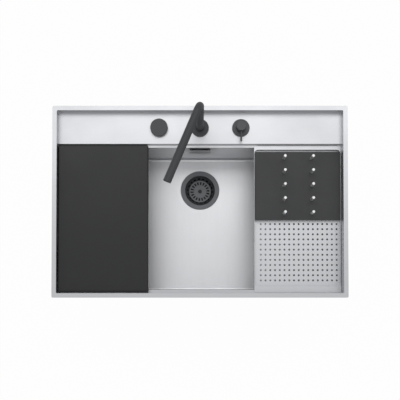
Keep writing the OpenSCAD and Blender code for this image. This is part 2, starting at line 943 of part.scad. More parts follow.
module aerator_insert() {
    foot = arm_z - pipe_r - aerator_h + 0.5;
    color("white") at_spout() translate([0, outlet_back - spout_reach, 0])
        plate(foot, foot + 3) difference() {
            circle(aerator_r - 1.6 - run_gap);
            circle(0.8);
            for (n = [6, 12]) for (i = [0:n - 1]) rotate(360 * i / n) translate([n / 2.6, 0]) circle(0.6);
        }
}

// ---------------------------------------------------------------- mixer

module mixer_base() {
    color(black) at_mixer() difference() {
        union() {
            bevelled_disc(base_r - 0.25, base_z, base_top, 1);
            bar(shank_r, shank_z, base_z + 1);
        }
        bar(cavity_r, cavity_z, base_top + over);
        for (p = [[-port_ring, 0], [port_ring, 0], [0, port_ring]])
            translate(p) bar(port_r, shank_z - over, cavity_z + over);
    }
}

module mixer_cartridge() {
    color("white") at_mixer() difference() {
        bar(cartridge_r, cavity_z, base_top - nut_ring_t);
        bar(stem_bore_r, base_top - nut_ring_t - 20, base_top);
    }
}

module cartridge_nut() {
    color("goldenrod") at_mixer()
        tube(cartridge_r, stem_r + 1.6, base_top - nut_ring_t, base_top);
}

module cartridge_stem() {
    color("silver") at_mixer() difference() {
        bar(stem_r, base_top - nut_ring_t - 19, pivot_z + 4.5);
        translate([0, 0, pivot_z]) rotate([0, 90, 0])
            translate([0, 0, -stem_r - over]) cylinder(r = pivot_r, h = 2 * (stem_r + over));
    }
}

module pivot_pin() {
    color("silver") at_mixer() translate([0, 0, pivot_z]) rotate([0, 90, 0])
        bar(pivot_r, -handle_r + 1, handle_r - 1);
}

module mixer_handle() {
    color(black) at_mixer() difference() {
        bevelled_disc(handle_r, handle_z, handle_top_z, 0.6);
        bar(handle_cavity_r, handle_z - over, handle_top_z - 5);
        translate([0, 0, pivot_z]) rotate([0, 90, 0])
            bar(pivot_r + run_gap, -handle_r + 0.8, handle_r - 0.8);
        translate([0, 0, lever_z]) rotate([90, 0, 0]) bar(lever_r, 0, handle_r + over);
        translate([0, 0, lever_z]) rotate([-90, 0, 0]) bar(1.5, 0, handle_r + over);
    }
}

module mixer_lever() {
    color(black) at_mixer() translate([0, 0, lever_z]) rotate([90, 0, 0]) rotate_extrude()
        polygon([
            [0, handle_cavity_r + 0.1], [lever_r, handle_cavity_r + 0.1],
            [lever_r, lever_reach - 1], [lever_r - 1, lever_reach], [0, lever_reach]
        ]);
}

module handle_screw() {
    color("silver") at_mixer() translate([0, 0, lever_z]) rotate([-90, 0, 0])
        bar(1.5, handle_cavity_r + 0.1, handle_r - 0.3);
}

// ---------------------------------------------------------------- waste knob

module knob_shank() {
    color(black) at_knob() difference() {
        union() {
            bar(knob_flange_r, base_z, base_z + knob_flange_t);
            bar(shank_r, shank_z, base_z + 1);
        }
        bar(spindle_r + run_gap, shank_z - over, base_z + knob_flange_t + over);
    }
}

// A cup under the shank that holds the cable's drum, with the cable's gland in front
module drum_housing() {
    gland_len = 14;
    mid_z = drum_z + drum_h / 2;
    color("gray") at_knob() difference() {
        union() {
            bar(cup_r + cup_wall, cup_z, shank_z);
            translate([0, 0, mid_z]) rotate([90, 0, 0]) bar(4, cup_r - 1, cup_r + cup_wall + gland_len);
        }
        bar(cup_r, cup_z + cup_wall, shank_z + over);
        translate([0, 0, mid_z]) rotate([90, 0, 0]) bar(1.5, 0, cup_r + cup_wall + gland_len + over);
    }
}

module knob_spindle() {
    color("silver") at_knob() bar(spindle_r, drum_z, knob_top_z - 5.5);
}

module waste_knob() {
    color(black) at_knob() difference() {
        bevelled_disc(knob_r, knob_z, knob_top_z, 0.8);
        difference() {
            bar(knob_r - knob_skirt, knob_z - over, knob_top_z - 5);
            bar(8, base_z + knob_flange_t + cap_gap, knob_top_z);
        }
        bar(spindle_r, knob_z - over, knob_top_z - 5.5);
        translate([0, 0, knob_top_z - 7.2]) rotate([-90, 0, 0]) bar(1.2, 0, 8 + over);
    }
}

module cable_drum() {
    color("white") at_knob() tube(drum_r, spindle_r, drum_z, drum_z + drum_h);
}

module knob_screw() {
    color("silver") at_knob() translate([0, 0, knob_top_z - 7.2]) rotate([-90, 0, 0])
        bar(1.2, spindle_r + 0.1, 7.8);
}

// ---------------------------------------------------------------- cutting board

module cutting_board() {
    front_bevel = 8;
    rear_bevel = 6;
    side_bevel = 2.5;
    bevel_drop = 3;
    corner = 8;
    color(black) intersection() {
        plate(board_z, board_top) polygon([
            [board_x0, board_y0], [board_x1, board_y0], [board_x1, board_y1 - corner],
            [board_x1 - corner * 0.3, board_y1 - corner * 0.3], [board_x1 - corner, board_y1],
            [board_x0 + corner / 2, board_y1], [board_x0, board_y1 - corner / 2]
        ]);
        translate([board_x0 - over, 0, 0]) rotate([90, 0, 90])
            linear_extrude(board_w + 2 * over) polygon([
                [board_y0, board_z], [board_y1, board_z], [board_y1, board_top - bevel_drop],
                [board_y1 - rear_bevel, board_top], [board_y0 + front_bevel, board_top],
                [board_y0, board_top - bevel_drop]
            ]);
        translate([0, board_y1 + over, 0]) rotate([90, 0, 0])
            linear_extrude(board_d + 2 * over) polygon([
                [board_x0, board_z], [board_x1, board_z], [board_x1, board_top - side_bevel],
                [board_x1 - side_bevel, board_top], [board_x0 + side_bevel, board_top],
                [board_x0, board_top - side_bevel]
            ]);
    }
}

// Two strips under the board, one on each ledge
module board_strips() {
    strip_w = min(ledge_rear - 3, 5);
    color("black") {
        block([board_x0 + 10, -rec_y + ledge_front - strip_w - 1, ledge_z],
              [board_x1 - 10, -rec_y + ledge_front - 1, board_z]);
        block([board_x0 + 10, bowl_y1 + 1, ledge_z], [board_x1 - 10, bowl_y1 + 1 + strip_w, board_z]);
    }
}

// ---------------------------------------------------------------- tray

module pan_outline(grow) {
    rounded(pan_x0 - grow, pan_x1 + grow, pan_y0 - grow, pan_y1 + grow, pan_r + grow);
}

module tray_frame() {
    color(steel) {
        plate(tray_under, tray_top) difference() {
            rounded(tray_x0, tray_x1, tray_y0, tray_y1, 2);
            pan_outline(0);
        }
        plate(pan_z, tray_under) difference() {
            pan_outline(tray_sheet);
            pan_outline(0);
        }
    }
}

module perforated_base() {
    color(steel) plate(pan_z - tray_sheet, pan_z) difference() {
        pan_outline(tray_sheet);
        for (i = [0:hole_cols - 1], j = [0:hole_rows - 1])
            translate([hole_x0 + i * hole_pitch_x, hole_y0 + j * hole_pitch_y]) circle(hole_r);
    }
}

// Two strips under the tray's flanges, one on each ledge
module tray_pads() {
    strip_w = min(ledge_rear - 3, 5);
    color("black") {
        block([tray_x0 + 10, bowl_y0 - strip_w - 1, ledge_z], [tray_x1 - 10, bowl_y0 - 1, tray_under]);
        block([tray_x0 + 10, bowl_y1 + 1, ledge_z], [tray_x1 - 10, bowl_y1 + 1 + strip_w, tray_under]);
    }
}

// ---------------------------------------------------------------- peg plate

module at_pegs() {
    for (x = peg_x, y = peg_y) translate([x, y, 0]) children();
}

module plate_rack() {
    color(black) difference() {
        plate(rack_z, rack_top) rounded(rack_x0, rack_x1, rack_y0, rack_y1, rack_r);
        at_pegs() bar(peg_screw_r + 0.1, rack_z - over, rack_top + over);
        at_pegs() bar(peg_head_r + 0.2, rack_z - over, rack_z + peg_head_inset + peg_head_t);
    }
}

module rack_pegs() {
    bore_top = rack_z + peg_head_inset + peg_screw_len + 1;
    color("silver") at_pegs() difference() {
        bevelled_disc(peg_r, rack_top, rack_top + peg_h, 1);
        bar(peg_screw_r, rack_top - over, bore_top);
    }
}

module peg_screws() {
    foot = rack_z + peg_head_inset;
    color("silver") at_pegs() {
        bar(peg_screw_r - run_gap, foot, foot + peg_screw_len);
        bar(peg_head_r, foot, foot + peg_head_t);
    }
}

module rack_feet() {
    color("black") for (x = [rack_x0 + foot_inset, rack_x1 - foot_inset])
        for (y = [rack_y0 + foot_inset, rack_y1 - foot_inset])
            translate([x, y, 0]) bar(foot_r, pan_z, rack_z);
}

// ---------------------------------------------------------------- nodes

worktop_frame();
bowl();
tap_stiffener();
rim_seal();
clip_brackets();
fixing_clips();
clip_screws();
sound_pads();
earth_tag();
overflow_cover();
overflow_gasket();
overflow_housing();
overflow_screws();
overflow_pipe();
waste_flange();
waste_top_gasket();
waste_bottom_gasket();
waste_body();
waste_screw();
waste_gland();
lift_pin();
strainer_basket();
basket_seal();
basket_knob();
deck_seals();
deck_washers();
deck_nuts();
spout_base();
swivel_bush();
spout_tail();
spout_pipe();
spout_orings();
retaining_ring();
aerator_housing();
aerator_insert();
mixer_base();
mixer_cartridge();
cartridge_nut();
cartridge_stem();
pivot_pin();
mixer_handle();
mixer_lever();
handle_screw();
knob_shank();
drum_housing();
knob_spindle();
waste_knob();
cable_drum();
knob_screw();
cutting_board();
board_strips();
tray_frame();
perforated_base();
tray_pads();
plate_rack();
rack_pegs();
peg_screws();
rack_feet();
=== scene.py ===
# %% [markdown]
# # A workstation sink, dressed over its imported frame
#
# A sink like this is folded and welded from stainless sheet, and carries a black cutting
# board, a perforated tray with a peg plate, a swivel spout, a mixer and a basket waste.
# The CAD model already holds every piece in its size and place. This script keeps them,
# softens the edges that catch light, models two pieces afresh, and gives each surface a
# finish made of nodes.

# %% Load the frame
import json
import math

import bmesh
import bpy
from mathutils import Matrix, Vector


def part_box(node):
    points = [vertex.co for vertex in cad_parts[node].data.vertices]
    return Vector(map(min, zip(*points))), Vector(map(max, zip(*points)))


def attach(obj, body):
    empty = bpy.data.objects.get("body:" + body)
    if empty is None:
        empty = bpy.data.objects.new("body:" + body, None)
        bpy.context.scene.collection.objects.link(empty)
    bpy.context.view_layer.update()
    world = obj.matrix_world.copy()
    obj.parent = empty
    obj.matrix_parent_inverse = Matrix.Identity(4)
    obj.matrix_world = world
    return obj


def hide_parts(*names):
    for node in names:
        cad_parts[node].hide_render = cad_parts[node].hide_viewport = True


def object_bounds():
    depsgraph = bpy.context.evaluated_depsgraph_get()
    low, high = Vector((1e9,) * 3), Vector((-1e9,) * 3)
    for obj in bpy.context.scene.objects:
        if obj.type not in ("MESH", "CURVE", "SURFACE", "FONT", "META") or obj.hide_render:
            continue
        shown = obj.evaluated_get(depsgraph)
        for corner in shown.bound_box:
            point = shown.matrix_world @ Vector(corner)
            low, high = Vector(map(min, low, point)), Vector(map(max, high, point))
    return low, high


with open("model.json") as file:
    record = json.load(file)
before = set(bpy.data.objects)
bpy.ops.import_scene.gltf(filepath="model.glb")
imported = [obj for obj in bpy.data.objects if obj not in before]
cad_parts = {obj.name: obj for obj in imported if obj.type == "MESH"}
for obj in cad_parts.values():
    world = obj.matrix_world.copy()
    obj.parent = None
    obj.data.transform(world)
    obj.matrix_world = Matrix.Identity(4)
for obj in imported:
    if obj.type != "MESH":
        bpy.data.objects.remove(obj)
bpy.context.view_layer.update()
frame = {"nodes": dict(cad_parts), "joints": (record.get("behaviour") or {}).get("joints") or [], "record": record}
MM = 0.001
SLOT = {row["node"]: row["material_slot"] for row in frame["record"]["subparts"]}
BODY = {
    node: body
    for body, nodes in frame["record"]["behaviour"]["bodies"].items()
    for node in nodes
}
print("nodes:", len(SLOT), "bodies:", len(set(BODY.values())))

# %% [markdown]
# ## The camera
#
# The photograph looks straight down from about 2.4 m, and the point below the lens lies near the
# sink's front edge, as with a shift lens. A camera turned to face the sink's middle would make the
# rim a trapezium. So the camera looks almost straight down, and the shift brings the sink to the
# middle of the picture, as a product photographer does it.

# %% Camera
EYE = Vector((0.0, -0.2764, 2.430))
TILT = math.radians(2.0)
SENSOR_WIDTH = 36
LENS = 81.15
SHIFT = 0.1807
camera_data = bpy.data.cameras.new("studio_camera")
camera_data.sensor_width = SENSOR_WIDTH
camera_data.lens = LENS
camera_data.shift_y = SHIFT
camera = bpy.data.objects.new("studio_camera", camera_data)
camera.location = EYE
camera.rotation_euler = (TILT, 0, 0)
bpy.context.collection.objects.link(camera)
bpy.context.scene.camera = camera
print("camera height:", EYE.z, "lens:", LENS)

# %% [markdown]
# ## Light and ground
#
# Brushed steel shows what stands round it more than the lamps themselves. A product table has a
# white tent and one large soft box behind it, so the tap deck at the back is brighter than the
# front rim. The tent is the world: plain grey for the light that it gives, and white where the
# camera or a reflection sees it. The ground lies at the lowest point of the sink.

# %% Colour management, world and lamp
scene = bpy.context.scene
scene.view_settings.view_transform = "Standard"
TENT_LEVEL = 0.55
LAMP_POWER = 12.0
LAMP_SIZE = (2.4, 1.0)
LAMP_PLACE = Vector((0.0, 0.95, 2.3))
DIRECT_RAYS = ("Is Camera Ray", "Is Glossy Ray", "Is Transmission Ray")


def seen_directly(nodes, links):
    """1 where the camera, a reflection or a clear surface sees this one, otherwise 0."""
    path = nodes.new("ShaderNodeLightPath")
    value = path.outputs[DIRECT_RAYS[0]]
    for kind in DIRECT_RAYS[1:]:
        larger = nodes.new("ShaderNodeMath")
        larger.operation = "MAXIMUM"
        links.new(value, larger.inputs[0])
        links.new(path.outputs[kind], larger.inputs[1])
        value = larger.outputs[0]
    return value


def white_background(nodes, strength):
    """A white Background shader of a given strength."""
    node = nodes.new("ShaderNodeBackground")
    node.inputs["Color"].default_value = (1, 1, 1, 1)
    node.inputs["Strength"].default_value = strength
    return node.outputs[0]


world = bpy.data.worlds.new("white_tent")
world.use_nodes = True
world.node_tree.nodes.clear()
air, air_links = world.node_tree.nodes, world.node_tree.links
either = air.new("ShaderNodeMixShader")
sky = air.new("ShaderNodeOutputWorld")
air_links.new(seen_directly(air, air_links), either.inputs[0])
air_links.new(white_background(air, TENT_LEVEL), either.inputs[1])
air_links.new(white_background(air, 1.0), either.inputs[2])
air_links.new(either.outputs[0], sky.inputs["Surface"])
scene.world = world

lamp_data = bpy.data.lights.new("rear_soft_box", "AREA")
lamp_data.shape = "RECTANGLE"
lamp_data.size, lamp_data.size_y = LAMP_SIZE
lamp_data.energy = LAMP_POWER
lamp = bpy.data.objects.new("rear_soft_box", lamp_data)
lamp.location = LAMP_PLACE
lamp.rotation_euler = (-math.atan2(LAMP_PLACE.y, LAMP_PLACE.z), 0, 0)
bpy.context.collection.objects.link(lamp)
print("lamp:", LAMP_POWER, "W, tent:", TENT_LEVEL)

# %% Ground: paper that shows white, with a small share of it left matt for the shadow
GROUND_HALF = 4.0
GROUND_GAP = 0.5 * MM
PAPER_TONE = (0.92, 0.92, 0.92, 1)
SHADOW_SHARE = 0.03
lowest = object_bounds()[0].z
bm = bmesh.new()
bmesh.ops.create_grid(bm, x_segments=1, y_segments=1, size=GROUND_HALF)
bmesh.ops.translate(bm, verts=bm.verts, vec=(0, 0, lowest - GROUND_GAP))
ground_mesh = bpy.data.meshes.new("ground")
bm.to_mesh(ground_mesh)
bm.free()
paper = bpy.data.materials.new("white_paper")
paper.use_nodes = True
sheet, sheet_links = paper.node_tree.nodes, paper.node_tree.links
sheet.clear()
matt = sheet.new("ShaderNodeBsdfDiffuse")
matt.inputs["Color"].default_value = PAPER_TONE
white = sheet.new("ShaderNodeEmission")
white.inputs["Strength"].default_value = 1.0
part_white = sheet.new("ShaderNodeMixShader")
share = sheet.new("ShaderNodeMath")
share.operation = "MULTIPLY"
share.inputs[1].default_value = 1.0 - SHADOW_SHARE
out = sheet.new("ShaderNodeOutputMaterial")
sheet_links.new(seen_directly(sheet, sheet_links), share.inputs[0])
sheet_links.new(share.outputs[0], part_white.inputs[0])
sheet_links.new(matt.outputs[0], part_white.inputs[1])
sheet_links.new(white.outputs[0], part_white.inputs[2])
sheet_links.new(part_white.outputs[0], out.inputs["Surface"])
ground_mesh.materials.append(paper)
ground = bpy.data.objects.new("ground", ground_mesh)
bpy.context.collection.objects.link(ground)
print("ground at", round(lowest / MM, 1), "mm")

# %% [markdown]
# ## Effects that several finishes share
#
# Brush marks, turned rings, worn edges, handling marks and a fine moulded grain come back in many materials. Each
# is a node group with named inputs, built once. A group only puts out values and normals, and the shader itself
# stays in the material.

# %% Node group helpers
VECTOR, FLOAT = "NodeSocketVector", "NodeSocketFloat"


def node_group(name, inputs, outputs):
    """Starts a node group with named sockets, and returns it with its two end nodes."""
    group = bpy.data.node_groups.new(name, "ShaderNodeTree")
    for label, kind, value in inputs:
        socket = group.interface.new_socket(name=label, in_out="INPUT", socket_type=kind)
        if value is not None:
            socket.default_value = value
    for label, kind in outputs:
        group.interface.new_socket(name=label, in_out="OUTPUT", socket_type=kind)
    return group, group.nodes.new("NodeGroupInput"), group.nodes.new("NodeGroupOutput")


def feed(tree, value, socket):
    """Sets a socket to a number, or links another socket to it."""
    if isinstance(value, (int, float)):
        socket.default_value = value
    else:
        tree.links.new(value, socket)


def noise(tree, vector, scale, detail, roughness=0.6):
    """A noise texture."""
    node = tree.nodes.new("ShaderNodeTexNoise")
    node.inputs["Detail"].default_value = detail
    node.inputs["Roughness"].default_value = roughness
    tree.links.new(vector, node.inputs["Vector"])
    feed(tree, scale, node.inputs["Scale"])
    return node.outputs["Fac"]


def spread(tree, value, low_in, high_in, low_out=0.0, high_out=1.0):
    """Maps a value from one range to another, and stops at its ends."""
    node = tree.nodes.new("ShaderNodeMapRange")
    for socket, number in zip(("From Min", "From Max", "To Min", "To Max"),
                              (low_in, high_in, low_out, high_out)):
        node.inputs[socket].default_value = number
    tree.links.new(value, node.inputs["Value"])
    return node.outputs["Result"]


def combine(tree, kind, first, second):
    """A math node of two sockets, or of a socket and a number."""
    node = tree.nodes.new("ShaderNodeMath")
    node.operation = kind
    feed(tree, first, node.inputs[0])
    feed(tree, second, node.inputs[1])
    return node.outputs[0]


def bumped(tree, height, strength, distance):
    """A normal raised by a height, over a real distance."""
    node = tree.nodes.new("ShaderNodeBump")
    node.inputs["Distance"].default_value = distance
    tree.links.new(height, node.inputs["Height"])
    feed(tree, strength, node.inputs["Strength"])
    return node.outputs["Normal"]


# %% Brush marks: long fine scratches, drawn out by the Mapping node before them
BRUSH_DEPTH = 0.05 * MM
BRUSH_RANGE = (0.3, 0.7)
BROAD_SCALE = 0.12
FINE_SHARE, BROAD_SHARE = 0.65, 0.35
brush_marks, entry, exit_ = node_group(
    "brush_marks",
    [("Vector", VECTOR, None), ("Density", FLOAT, 90.0), ("Depth", FLOAT, 0.1)],
    [("Lines", FLOAT), ("Normal", VECTOR)])
fine = noise(brush_marks, entry.outputs["Vector"], entry.outputs["Density"], detail=5)
broad_scale = combine(brush_marks, "MULTIPLY", entry.outputs["Density"], BROAD_SCALE)
broad = noise(brush_marks, entry.outputs["Vector"], broad_scale, detail=2)
lines = combine(brush_marks, "ADD", combine(brush_marks, "MULTIPLY", fine, FINE_SHARE),
                combine(brush_marks, "MULTIPLY", broad, BROAD_SHARE))
brush_marks.links.new(spread(brush_marks, lines, *BRUSH_RANGE), exit_.inputs["Lines"])
brush_marks.links.new(bumped(brush_marks, lines, entry.outputs["Depth"], BRUSH_DEPTH),
                      exit_.inputs["Normal"])
print("group:", brush_marks.name)

# %% Turned rings: the fine circles that a lathe leaves round an upright axis
RING_DEPTH = 0.03 * MM
RING_UNEVENNESS = 0.6
turned_rings, entry, exit_ = node_group(
    "turned_rings",
    [("Vector", VECTOR, None), ("Density", FLOAT, 260.0), ("Depth", FLOAT, 0.1)],
    [("Lines", FLOAT), ("Normal", VECTOR)])
rings = turned_rings.nodes.new("ShaderNodeTexWave")
rings.wave_type = "RINGS"
rings.rings_direction = "Z"
rings.inputs["Distortion"].default_value = RING_UNEVENNESS
turned_rings.links.new(entry.outputs["Vector"], rings.inputs["Vector"])
turned_rings.links.new(entry.outputs["Density"], rings.inputs["Scale"])
turned_rings.links.new(rings.outputs["Fac"], exit_.inputs["Lines"])
turned_rings.links.new(
    bumped(turned_rings, rings.outputs["Fac"], entry.outputs["Depth"], RING_DEPTH),
    exit_.inputs["Normal"])
print("group:", turned_rings.name)

# %% Edge wear: 1 on a convex or folded edge, broken up by a patchy noise
WEAR_RADIUS = 0.8 * MM
WEAR_SAMPLES = 4
WEAR_FROM, WEAR_FULL = 0.995, 0.90
PATCH_RANGE = (0.35, 0.65)
edge_wear, entry, exit_ = node_group(
    "edge_wear",
    [("Vector", VECTOR, None), ("Patches", FLOAT, 40.0)],
    [("Edge", FLOAT)])
rounding = edge_wear.nodes.new("ShaderNodeBevel")
rounding.samples = WEAR_SAMPLES
rounding.inputs["Radius"].default_value = WEAR_RADIUS
surface = edge_wear.nodes.new("ShaderNodeNewGeometry")
likeness = edge_wear.nodes.new("ShaderNodeVectorMath")
likeness.operation = "DOT_PRODUCT"
edge_wear.links.new(rounding.outputs["Normal"], likeness.inputs[0])
edge_wear.links.new(surface.outputs["Normal"], likeness.inputs[1])
turned_away = spread(edge_wear, likeness.outputs["Value"], WEAR_FROM, WEAR_FULL)
patches = noise(edge_wear, entry.outputs["Vector"], entry.outputs["Patches"], detail=3)
edge_wear.links.new(
    combine(edge_wear, "MULTIPLY", turned_away, spread(edge_wear, patches, *PATCH_RANGE)),
    exit_.inputs["Edge"])
print("group:", edge_wear.name)

# %% Handling marks: broad uneven patches, as wiped water and fingers leave them
BLOTCH_RANGE = (0.35, 0.7)
handling_marks, entry, exit_ = node_group(
    "handling_marks",
    [("Vector", VECTOR, None), ("Scale", FLOAT, 9.0)],
    [("Marks", FLOAT)])
blotches = noise(handling_marks, entry.outputs["Vector"], entry.outputs["Scale"],
                 detail=5, roughness=0.62)
handling_marks.links.new(spread(handling_marks, blotches, *BLOTCH_RANGE), exit_.inputs["Marks"])
print("group:", handling_marks.name)

# %% Moulded grain: the small pimples of moulded plastic, rubber and spray paint
GRAIN_DEPTH = 0.08 * MM
GRAIN_RANGE = (0.3, 0.7)
moulded_grain, entry, exit_ = node_group(
    "moulded_grain",
    [("Vector", VECTOR, None), ("Density", FLOAT, 900.0), ("Depth", FLOAT, 0.2)],
    [("Grain", FLOAT), ("Normal", VECTOR)])
pimples = noise(moulded_grain, entry.outputs["Vector"], entry.outputs["Density"], detail=3)
moulded_grain.links.new(spread(moulded_grain, pimples, *GRAIN_RANGE), exit_.inputs["Grain"])
moulded_grain.links.new(bumped(moulded_grain, pimples, entry.outputs["Depth"], GRAIN_DEPTH),
                        exit_.inputs["Normal"])
print("group:", moulded_grain.name)

# %% [markdown]
# ## The finishes
#
# A finish starts as a Principled shader with its plain values on its own sockets. Its colour
# then runs between a darker and a lighter tone by the marks, its roughness rises where hands
# and water have been, and its edges show a little brighter. All patterns read Object
# coordinates, because every piece lies in the sink's own frame.

# %% Material helpers
FINISH = {}


def new_finish(name, metallic, roughness):
    """Starts a material, keeps it as a finish, and returns its node tree and its shader."""
    material = bpy.data.materials.new(name)
    material.use_nodes = True
    FINISH[name] = material
    shader = material.node_tree.nodes["Principled BSDF"]
    shader.inputs["Metallic"].default_value = metallic
    shader.inputs["Roughness"].default_value = roughness
    return material.node_tree, shader


def placed(tree, scale=(1, 1, 1), centre=(0, 0, 0)):
    """Object coordinates, measured from a centre and drawn out by a scale."""
    coordinates = tree.nodes.new("ShaderNodeTexCoord")
    mapping = tree.nodes.new("ShaderNodeMapping")
    mapping.inputs["Scale"].default_value = scale
    mapping.inputs["Location"].default_value = [-c * s for c, s in zip(centre, scale)]
    tree.links.new(coordinates.outputs["Object"], mapping.inputs["Vector"])
    return mapping.outputs["Vector"]


def effect(tree, group, vector, **values):
    """Places a shared group in a material, with its own values."""
    node = tree.nodes.new("ShaderNodeGroup")
    node.node_tree = group
    tree.links.new(vector, node.inputs["Vector"])
    for label, value in values.items():
        node.inputs[label].default_value = value
    return node.outputs


def colour_socket(sockets, name):
    """The colour socket of a Mix node, which has number and vector sockets of that name too."""
    return [socket for socket in sockets if socket.name == name and socket.type == "RGBA"][0]


def between(tree, amount, dark, light):
    """A colour that runs from one tone or socket to another."""
    mix = tree.nodes.new("ShaderNodeMix")
    mix.data_type = "RGBA"
    tree.links.new(amount, mix.inputs["Factor"])
    for name, tone in zip(("A", "B"), (dark, light)):
        socket = colour_socket(mix.inputs, name)
        if isinstance(tone, tuple):
            socket.default_value = (*tone, 1)
        else:
            tree.links.new(tone, socket)
    return colour_socket(mix.outputs, "Result")


def shaded(tone, factor):
    """The tone made darker or lighter."""
    return tuple(min(1.0, part * factor) for part in tone)


# %% Metals: brushed along one direction, or turned
METAL_PATCHES = 60.0
METAL_WEAR = 0.5
METAL_WEAR_TONE = 1.25
METAL_HANDS_SCALE = 7.0
METAL_HANDS_ROUGHEN = 0.06
METAL_LINES_ROUGHEN = 0.05
METAL_SMOOTHER = 0.05


def metal(name, tone, roughness, marks, stretch, density, depth, contrast, centre=(0, 0, 0)):
    """A metal with fine marks, handling marks in its roughness and brighter edges."""
    tree, shader = new_finish(name, metallic=1.0, roughness=roughness)
    lines = effect(tree, marks, placed(tree, stretch, centre), Density=density, Depth=depth)
    wear = effect(tree, edge_wear, placed(tree), Patches=METAL_PATCHES)["Edge"]
    hands = effect(tree, handling_marks, placed(tree), Scale=METAL_HANDS_SCALE)["Marks"]
    brushed = between(tree, lines["Lines"], shaded(tone, 1 - contrast), shaded(tone, 1 + contrast))
    worn = between(tree, combine(tree, "MULTIPLY", wear, METAL_WEAR), brushed,
                   shaded(tone, METAL_WEAR_TONE))
    tree.links.new(worn, shader.inputs["Base Color"])
    uneven = combine(tree, "ADD", combine(tree, "MULTIPLY", hands, METAL_HANDS_ROUGHEN),
                     combine(tree, "MULTIPLY", lines["Lines"], METAL_LINES_ROUGHEN))
    tree.links.new(combine(tree, "ADD", uneven, roughness - METAL_SMOOTHER),
                   shader.inputs["Roughness"])
    tree.links.new(lines["Normal"], shader.inputs["Normal"])
    return shader


ALONG_X, ALONG_Y, ALONG_Z = (0.03, 1, 1), (1, 0.03, 1), (1, 1, 0.03)
EVEN = (1, 1, 1)
# Painted light: the bowl and the frame are one steel. The bowl's copy has a lighter tone than the frame's, to make
# up for the less light that reaches down into the bowl.
SHEET_STEEL = (0.447, 0.452, 0.466)
BOWL_STEEL_PAINTED_LIGHTER = (0.585, 0.59, 0.605)
TRAY_STEEL = (0.47, 0.48, 0.495)
PEG_STEEL = (0.66, 0.665, 0.67)
ZINC_STEEL = (0.50, 0.51, 0.53)
BRASS = (0.68, 0.50, 0.22)
metal("sheet_steel", SHEET_STEEL, 0.36, brush_marks, ALONG_X, density=900, depth=0.12,
      contrast=0.035)
metal("bowl_steel", BOWL_STEEL_PAINTED_LIGHTER, 0.38, brush_marks, ALONG_Y, density=900, depth=0.08,
      contrast=0.035)
metal("tray_steel", TRAY_STEEL, 0.40, brush_marks, ALONG_Y, density=900, depth=0.12,
      contrast=0.035)
metal("bright_steel", PEG_STEEL, 0.48, brush_marks, ALONG_Z, density=1200, depth=0.05,
      contrast=0.02)
metal("zinc_steel", ZINC_STEEL, 0.42, brush_marks, EVEN, density=500, depth=0.15, contrast=0.08)
metal("brass", BRASS, 0.32, brush_marks, ALONG_Z, density=700, depth=0.1, contrast=0.05)
print("metals:", len(FINISH))


# %% Coated metals: the smoke-grey coating of the spout, knobs and waste
COAT_METALLIC = 0.5
SMOKE = (0.048, 0.050, 0.053)


def middle_of(node):
    """The middle of a CAD node's box."""
    low_corner, high_corner = (Vector(corner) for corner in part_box(node))
    return (low_corner + high_corner) / 2


def coated(name, painted_lightness, roughness, turned_node=None):
    """A half-metallic coating. A turned piece gives the node whose middle its rings circle. Its lightness makes a
    lighter copy of the one coating, as painted light.
    """
    tone = shaded(SMOKE, painted_lightness)
    if turned_node:
        shader = metal(name, tone, roughness, turned_rings, EVEN, density=300, depth=0.10,
                       contrast=0.04, centre=middle_of(turned_node))
    else:
        shader = metal(name, tone, roughness, brush_marks, ALONG_Z, density=900, depth=0.08,
                       contrast=0.06)
    shader.inputs["Metallic"].default_value = COAT_METALLIC
    return shader


# Painted light: these are copies of one smoke-grey coating. The knob and mixer are made lighter, and the basket
# and waste flange deep in the well about three times lighter, to make up for how little light reaches them.
coated("smoke_grey", painted_lightness=1.0, roughness=0.55)
coated("smoke_knob", painted_lightness=1.2, roughness=0.50, turned_node="waste_knob")
coated("smoke_mixer", painted_lightness=1.5, roughness=0.50, turned_node="mixer_base")
coated("smoke_basket", painted_lightness=3.0, roughness=0.45, turned_node="basket_knob")
waste_shader = coated("smoke_waste", painted_lightness=3.3, roughness=0.50, turned_node="waste_flange")
print("coatings:", [name for name in FINISH if name.startswith("smoke")])

# %% [markdown]
# In the photograph the basket's slots are black. The well below them is painted black as shade, standing in for
# the little light that reaches down there. The well below them is taken to have a dull black coating, which is a
# guess. One Map Range on the height turns the flange's own grey to that black, so the painted shade belongs to
# the surface colour and stays the same from every side.

# %% Painted shade: black inside the well
# Painted shade: below this height the waste flange's colour turns black and its metallic falls to 0.
WELL_PAINTED_SHADE = (0.004, 0.004, 0.004)
WELL_SHADE_FROM = -262 * MM
WELL_SHADE_TO = -268 * MM
tree = FINISH["smoke_waste"].node_tree
grey = waste_shader.inputs["Base Color"].links[0].from_socket
place = tree.nodes.new("ShaderNodeSeparateXYZ")
tree.links.new(placed(tree), place.inputs[0])
height = place.outputs["Z"]
# depth is the painted shade mask: 0 above the well and 1 at its bottom.
depth = spread(tree, height, WELL_SHADE_FROM, WELL_SHADE_TO)
tree.links.new(between(tree, depth, grey, WELL_PAINTED_SHADE), waste_shader.inputs["Base Color"])
tree.links.new(spread(tree, height, WELL_SHADE_FROM, WELL_SHADE_TO, COAT_METALLIC, 0.0),
               waste_shader.inputs["Metallic"])
print("well darkens below", round(WELL_SHADE_FROM / MM), "mm")

# %% [markdown]
# Plastic, rubber and laminate take their look from the mould or press: a fine grain in the
# normal, a slightly uneven colour, and a greyer tone on the edges that are knocked most.

# %% Plastics, rubber and laminate
MOULDED_PATCHES = 35.0
MOULDED_WEAR = 0.6
MOULDED_HANDS_SCALE = 6.0
MOULDED_HANDS_ROUGHEN = 0.1
MOULDED_SMOOTHER = 0.04
WORN_BLACK = (0.04, 0.042, 0.045)
BOARD_IOR = 1.40


